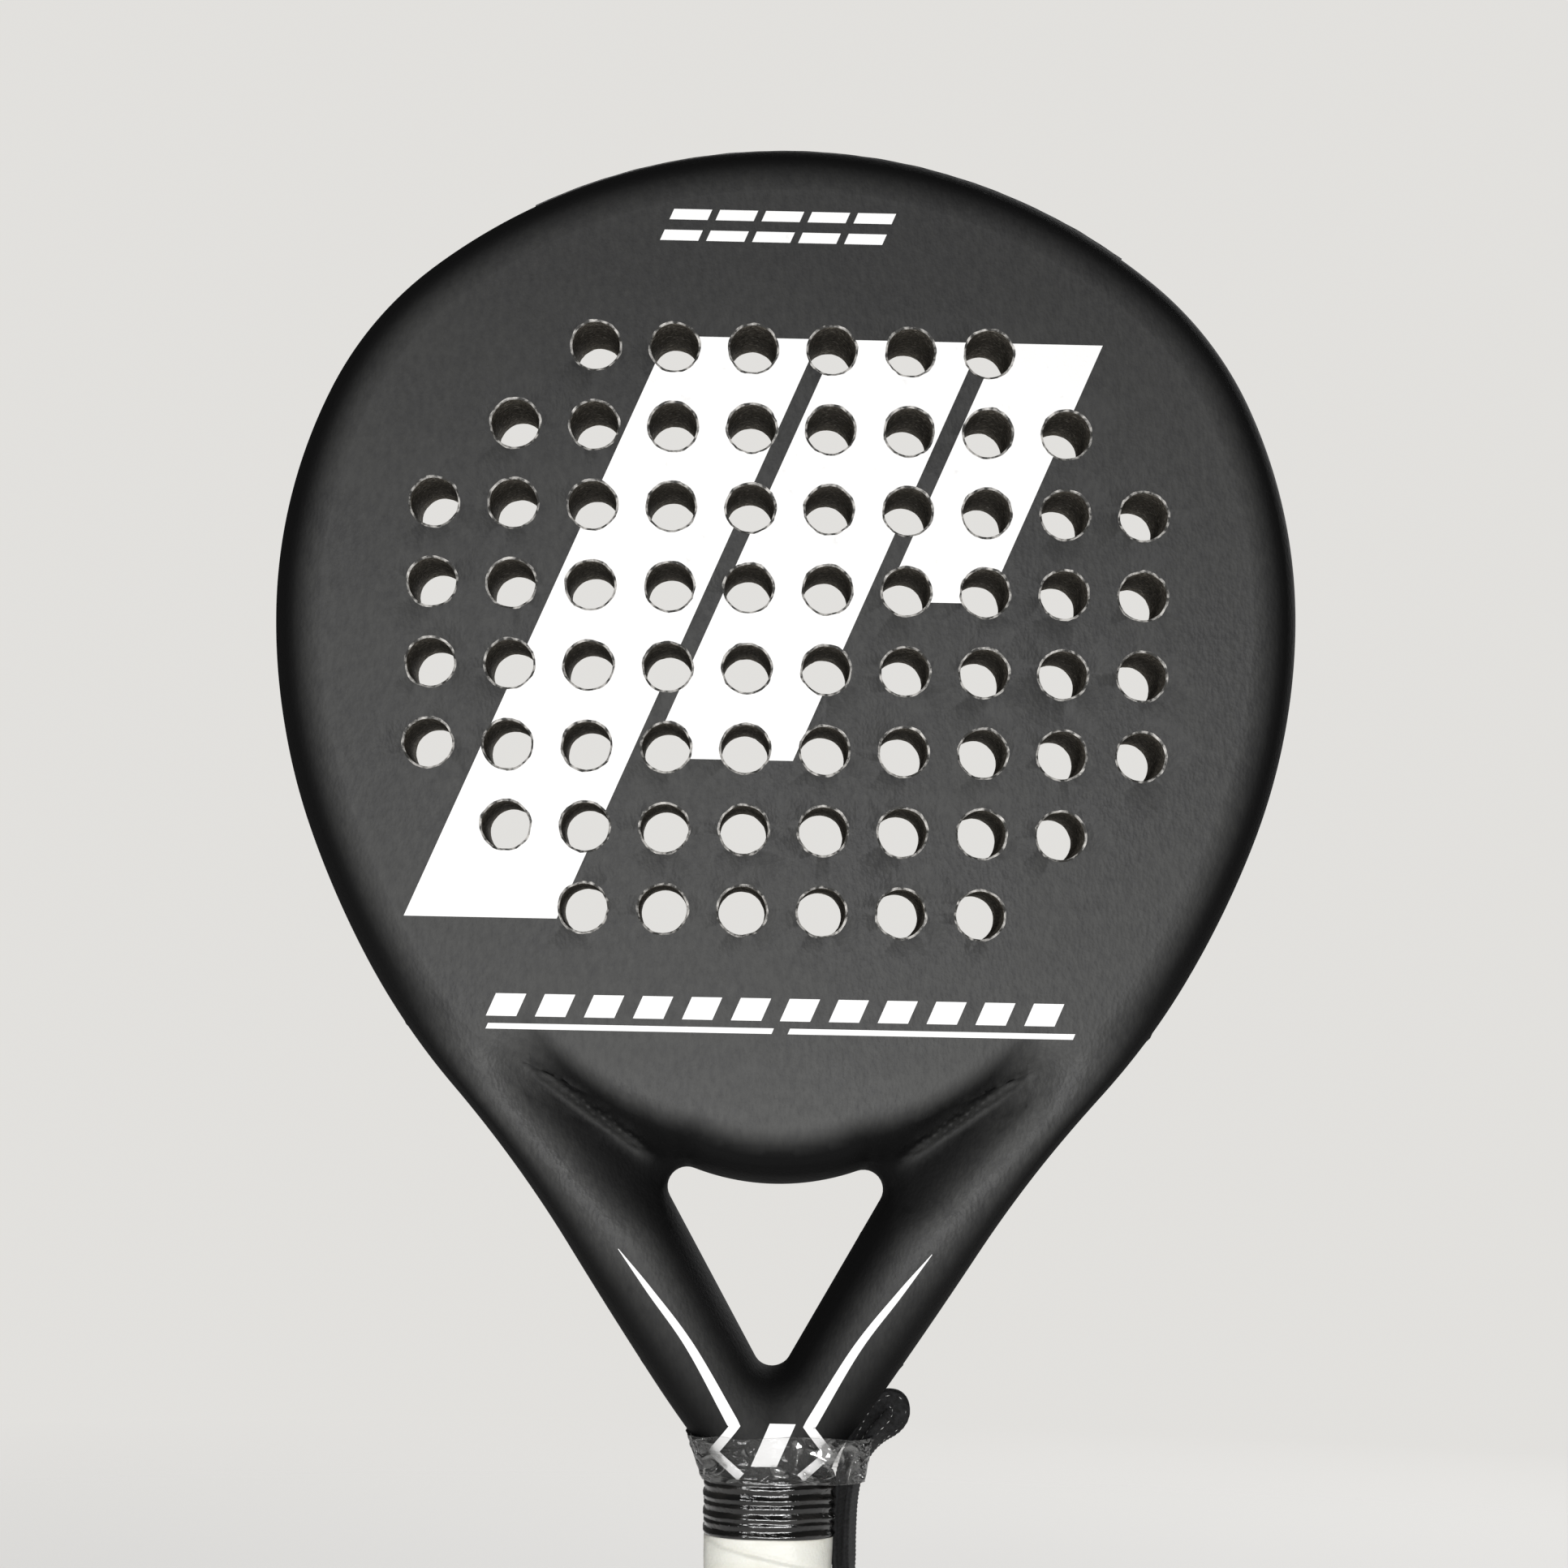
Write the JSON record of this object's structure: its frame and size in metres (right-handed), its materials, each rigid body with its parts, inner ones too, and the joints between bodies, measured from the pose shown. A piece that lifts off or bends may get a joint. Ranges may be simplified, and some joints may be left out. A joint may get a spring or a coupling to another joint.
{
  "type": "padel racket",
  "caption": "Perforated teardrop padel racket with a hollow rounded frame, open throat, wrapped handle, flared butt cap and a wrist strap with a sliding keeper.",
  "frame": {"origin": "centre of the butt cap's lower rim", "axes": "+Z from the butt cap to the tip of the head, +X to the right seen from the front, front playing face looks along -Y"},
  "size_m": [0.26, 0.0396, 0.455],
  "materials": {
    "frame_paint": "satin black lacquer over fibre",
    "face_paint": "matte charcoal lacquer with a fine grain",
    "core_foam": "drilled black foam",
    "guard_tape": "black protective tape",
    "white_print": "white screen print",
    "bare_fibre": "unpainted carbon fibre",
    "handle_foam": "rigid polyurethane foam",
    "grip_leather": "cream synthetic leather wrap",
    "collar_rubber": "glossy black ridged sleeve",
    "plug_plastic": "moulded plug",
    "steel": "zinc-plated steel",
    "cap_plastic": "moulded black plastic",
    "strap_webbing": "ribbed black webbing",
    "slider_plastic": "moulded black plastic",
    "film": "clear shrink film"
  },
  "bodies": {
    "racket": {"frame_hoop": "frame_paint", "throat_bridge": "frame_paint", "throat_arm_right": "frame_paint", "throat_arm_left": "frame_paint", "throat_yoke": "frame_paint", "foam_core": "core_foam", "front_face": "face_paint", "rear_face": "face_paint", "edge_guard": "guard_tape", "pinstripe_right": "white_print", "pinstripe_left": "white_print", "throat_badge": "white_print", "handle_shaft": "bare_fibre", "handle_pallet_front": "handle_foam", "handle_pallet_rear": "handle_foam", "grip_wrap": "grip_leather", "grip_collar": "collar_rubber", "shaft_plug": "plug_plastic", "cap_screws": "steel", "butt_cap": "cap_plastic", "strap_anchor_pin": "steel", "strap_tab": "strap_webbing", "wrist_strap": "strap_webbing", "clear_film": "film", "front_emblem": "white_print", "front_tip_mark": "white_print", "front_low_mark": "white_print", "rear_emblem": "white_print", "rear_tip_mark": "white_print", "rear_low_mark": "white_print"},
    "slider": {"strap_slider": "slider_plastic"}
  },
  "joints": [
    {"name": "slider_travel", "type": "slide", "parent": "racket", "child": "slider", "axis": [0, 0, 1], "range_m": [0, 0.042]}
  ]
}
